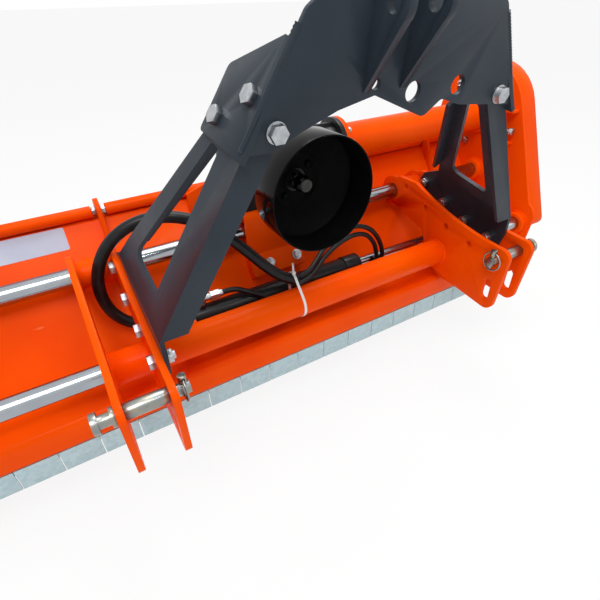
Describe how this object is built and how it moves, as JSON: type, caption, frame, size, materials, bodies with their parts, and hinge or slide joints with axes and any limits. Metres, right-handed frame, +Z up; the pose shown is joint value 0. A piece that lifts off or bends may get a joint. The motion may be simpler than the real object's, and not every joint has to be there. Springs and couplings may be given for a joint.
{
  "type": "flail mower",
  "caption": "Side-shifting flail mower for a tractor linkage: orange body with hammer rotor and roller, sliding hitch carriage, gearbox, belt case and hoses.",
  "frame": {"origin": "middle of the base of the object's box, on the ground", "axes": "+X along the rotor towards the belt case, +Y away from the tractor, +Z up"},
  "size_m": [1.844, 0.896, 0.9306],
  "materials": {
    "orange_paint": "gloss orange paint",
    "slate_paint": "satin dark slate paint",
    "black_paint": "satin black paint",
    "guard_plastic": "glossy black moulded plastic",
    "chrome": "ground and plated bar",
    "zinc": "bright zinc plate",
    "yellow_zinc": "yellow zinc plate",
    "galvanised": "dull galvanised sheet",
    "cast": "dark casting",
    "bare_steel": "turned bare steel",
    "bush": "turned bronze",
    "rubber": "smooth black rubber",
    "tie_plastic": "white moulded plastic"
  },
  "bodies": {
    "mower_body": {"hood_shell": "orange_paint", "left_side_plate": "orange_paint", "right_side_plate": "orange_paint", "front_rail": "chrome", "rear_rail": "chrome", "rail_bosses": "orange_paint", "hood_hinge_lugs": "orange_paint", "hood_hinge_bolts": "zinc", "gearbox_saddle": "orange_paint", "gearbox": "black_paint", "gearbox_bolts": "zinc", "pto_guard": "guard_plastic", "drive_tube": "orange_paint", "belt_cover": "orange_paint", "belts": "rubber", "shaft_bearings": "cast", "skids": "orange_paint", "roller_brackets": "orange_paint", "flap_rod": "zinc", "cylinder_rod": "chrome", "rod_lug": "orange_paint", "rod_pin": "zinc", "belt_tensioner": "orange_paint"},
    "rotor": {"rotor_tube": "orange_paint", "hammer_lugs": "orange_paint", "hammers": "cast", "hammer_bolts": "zinc", "rotor_pulley": "cast"},
    "cross_drive": {"cross_shaft": "bare_steel", "drive_pulley": "cast"},
    "pto_input": {"pto_shaft": "bare_steel"},
    "roller": {"rear_roller": "bare_steel"},
    "flaps": {"front_flaps": "galvanised"},
    "rear_cover": {"rear_hood": "orange_paint"},
    "carriage": {"hitch_plate_a": "orange_paint", "hitch_plate_b": "orange_paint", "hitch_plate_c": "orange_paint", "hitch_plate_d": "orange_paint", "front_sleeve": "orange_paint", "rear_sleeves": "orange_paint", "slide_bushes": "bush", "left_leg": "slate_paint", "right_leg": "slate_paint", "mast": "slate_paint", "top_link_ears": "slate_paint", "headstock_bolts": "zinc", "cylinder_barrel": "black_paint", "cylinder_gland": "black_paint", "cylinder_base_lug": "orange_paint", "base_pin": "zinc", "hose_loop": "rubber", "hose_rod_side": "rubber", "hose_base_side": "rubber", "hose_fittings": "zinc", "cable_tie": "tie_plastic"},
    "left_pin": {"hitch_pin_left": "yellow_zinc"},
    "right_pin": {"hitch_pin_right": "yellow_zinc"},
    "left_ring": {"lynch_ring_left": "yellow_zinc"},
    "right_ring": {"lynch_ring_right": "yellow_zinc"}
  },
  "joints": [
    {"name": "side_shift", "type": "slide", "parent": "mower_body", "child": "carriage", "axis": [1, 0, 0], "range_m": [-0.19, 0.12]},
    {"name": "rotor_spin", "type": "hinge", "parent": "mower_body", "child": "rotor", "pos_m": [-0.013, 0.11798, 0.2], "axis": [1, 0, 0], "continuous": true},
    {"name": "cross_shaft_spin", "type": "hinge", "parent": "mower_body", "child": "cross_drive", "pos_m": [0.687, 0.03298, 0.587], "axis": [1, 0, 0], "continuous": true},
    {"name": "pto_spin", "type": "hinge", "parent": "mower_body", "child": "pto_input", "pos_m": [0.107, -0.19202, 0.587], "axis": [0, 1, 0], "continuous": true},
    {"name": "roller_spin", "type": "hinge", "parent": "mower_body", "child": "roller", "pos_m": [-0.013, 0.36798, 0.08], "axis": [1, 0, 0], "continuous": true},
    {"name": "front_flap_swing", "type": "hinge", "parent": "mower_body", "child": "flaps", "pos_m": [-0.013, -0.19702, 0.164], "axis": [1, 0, 0], "range_deg": [0, 70]},
    {"name": "rear_hood_tilt", "type": "hinge", "parent": "mower_body", "child": "rear_cover", "pos_m": [-0.013, 0.10998, 0.515], "axis": [1, 0, 0], "range_deg": [0, 70]},
    {"name": "left_pin_turn", "type": "hinge", "parent": "carriage", "child": "left_pin", "pos_m": [-0.306, -0.37202, 0.377], "axis": [1, 0, 0], "continuous": true},
    {"name": "right_pin_turn", "type": "hinge", "parent": "carriage", "child": "right_pin", "pos_m": [0.564, -0.37202, 0.377], "axis": [1, 0, 0], "continuous": true},
    {"name": "left_ring_flip", "type": "hinge", "parent": "left_pin", "child": "left_ring", "pos_m": [-0.245, -0.37202, 0.399], "axis": [0, -1, 0], "range_deg": [0, 165]},
    {"name": "right_ring_flip", "type": "hinge", "parent": "right_pin", "child": "right_ring", "pos_m": [0.503, -0.37202, 0.399], "axis": [0, 1, 0], "range_deg": [0, 165]}
  ],
  "couplings": [
    {"joint": "cross_shaft_spin", "follows": "rotor_spin", "ratio": 0.8},
    {"joint": "pto_spin", "follows": "rotor_spin", "ratio": 0.26667}
  ]
}
